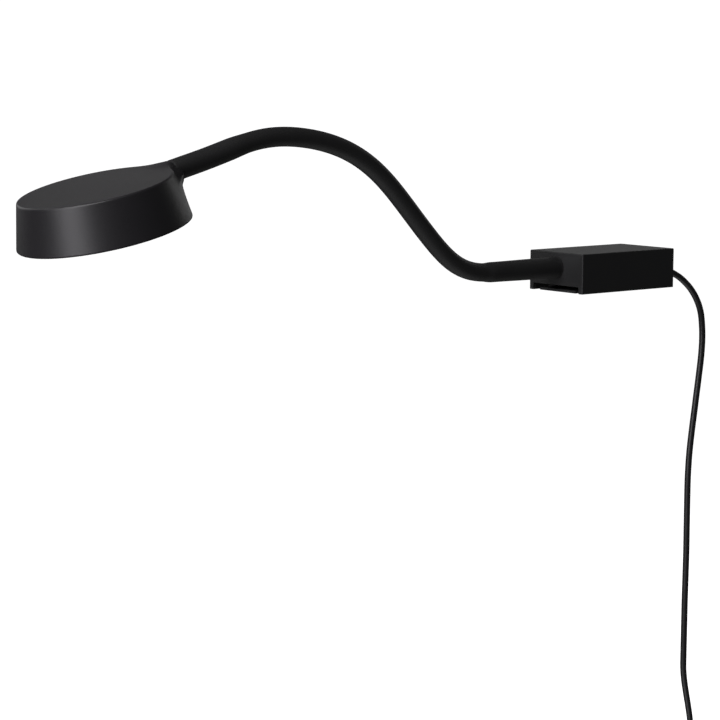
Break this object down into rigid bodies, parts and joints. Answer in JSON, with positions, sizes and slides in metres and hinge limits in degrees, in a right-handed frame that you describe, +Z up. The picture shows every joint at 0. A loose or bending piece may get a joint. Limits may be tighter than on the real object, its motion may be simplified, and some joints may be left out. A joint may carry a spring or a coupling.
{
  "type": "picture light",
  "caption": "Picture light: a flat round lamp head on a bendable sleeved arm, a small box housing that slides onto a flat bracket, and a low-voltage lead.",
  "frame": {"origin": "centre of the mounting bracket's underside, where it lies on the cabinet top or other surface that holds it", "axes": "+Z up, away from that surface; the arm and lamp head reach out towards -X; the lead leaves towards +X; Y is across the housing"},
  "size_m": [0.4627, 0.0838, 0.4641],
  "materials": {
    "housing_plastic": "fine-textured black moulded plastic, satin to matte",
    "shell_plastic": "smooth satin black moulded plastic",
    "silicone": "smooth matte black silicone",
    "steel": "plain steel, fine machining",
    "black_steel": "black powder coat",
    "aluminium": "stamped aluminium",
    "brass": "turned brass",
    "board": "green solder mask",
    "led_board": "white solder mask with pale yellow emitters",
    "ferrite": "grey-black ferrite",
    "capacitor_can": "dark sleeve",
    "film_capacitor": "dipped coating",
    "chip": "matte epoxy",
    "terminal_plastic": "green moulded plastic",
    "opal": "opal satin diffuser",
    "white_plastic": "matte white reflector",
    "cord_jacket": "smooth black two-core jacket with a faint groove",
    "connector_plastic": "moulded black connector",
    "tie_fabric": "woven black hook-and-loop strap"
  },
  "bodies": {
    "bracket": {"mounting_bracket": "black_steel", "bracket_catch_spring": "steel"},
    "housing": {"housing_shell": "housing_plastic", "bottom_cover": "housing_plastic", "cover_screw_1": "steel", "cover_screw_2": "steel", "cover_screw_3": "steel", "cover_screw_4": "steel", "circuit_board": "board", "inductor": "ferrite", "smoothing_capacitor": "capacitor_can", "film_capacitor": "film_capacitor", "driver_chip": "chip", "terminal_block": "terminal_plastic", "arm_base_ferrule": "steel", "arm_lock_nut": "brass", "base_sleeve": "silicone", "gooseneck_core_0": "steel", "strain_relief": "silicone", "supply_wires": "cord_jacket", "lead_clamp": "housing_plastic", "arm_wires": "cord_jacket", "cord": "cord_jacket", "cord_coil": "cord_jacket", "cord_tail": "cord_jacket", "cord_tie": "tie_fabric", "connector_body": "connector_plastic", "connector_barrel": "steel"},
    "arm_1": {"arm_sleeve_1": "silicone", "gooseneck_core_1": "steel"},
    "arm_2": {"arm_sleeve_2": "silicone", "gooseneck_core_2": "steel"},
    "arm_3": {"arm_sleeve_3": "silicone", "gooseneck_core_3": "steel"},
    "arm_4": {"arm_sleeve_4": "silicone", "gooseneck_core_4": "steel"},
    "arm_5": {"arm_sleeve_5": "silicone", "gooseneck_core_5": "steel"},
    "arm_6": {"arm_sleeve_6": "silicone", "gooseneck_core_6": "steel"},
    "arm_7": {"arm_sleeve_7": "silicone", "gooseneck_core_7": "steel"},
    "head": {"head_sleeve": "silicone", "arm_head_ferrule": "steel", "head_shell": "shell_plastic", "arm_saddle": "aluminium", "saddle_screw_1": "steel", "saddle_screw_2": "steel", "heat_spreader": "aluminium", "head_screw_1": "steel", "head_screw_2": "steel", "head_screw_3": "steel", "led_board": "led_board", "head_wires": "cord_jacket", "reflector": "white_plastic", "diffuser": "opal", "bezel_ring": "housing_plastic"}
  },
  "joints": [
    {"name": "housing_slide", "type": "slide", "parent": "bracket", "child": "housing", "axis": [1, 0, 0], "range_m": [0, 0.05]},
    {"name": "arm_bend_1", "type": "hinge", "parent": "housing", "child": "arm_1", "pos_m": [-0.10225, 0, 0.01566], "axis": [0, 1, 0], "range_deg": [-26, 9]},
    {"name": "arm_bend_2", "type": "hinge", "parent": "arm_1", "child": "arm_2", "pos_m": [-0.12156, 0, 0.02706], "axis": [0, 1, 0], "range_deg": [-26, 23]},
    {"name": "arm_swing_3", "type": "hinge", "parent": "arm_2", "child": "arm_3", "pos_m": [-0.13771, 0, 0.04286], "axis": [0.7194, 0, 0.6946], "range_deg": [-26, 26]},
    {"name": "arm_bend_4", "type": "hinge", "parent": "arm_3", "child": "arm_4", "pos_m": [-0.15353, 0, 0.05914], "axis": [0, 1, 0], "range_deg": [-26, 26]},
    {"name": "arm_bend_5", "type": "hinge", "parent": "arm_4", "child": "arm_5", "pos_m": [-0.17099, 0, 0.07343], "axis": [0, 1, 0], "range_deg": [-22, 26]},
    {"name": "arm_swing_6", "type": "hinge", "parent": "arm_5", "child": "arm_6", "pos_m": [-0.19132, 0, 0.08316], "axis": [0.3145, 0, 0.9493], "range_deg": [-26, 26]},
    {"name": "arm_bend_7", "type": "hinge", "parent": "arm_6", "child": "arm_7", "pos_m": [-0.21336, 0, 0.08799], "axis": [0, 1, 0], "range_deg": [-26, 26]},
    {"name": "arm_bend_8", "type": "hinge", "parent": "arm_7", "child": "head", "pos_m": [-0.23601, 0, 0.08852], "axis": [0, 1, 0], "range_deg": [-22, 26]}
  ]
}
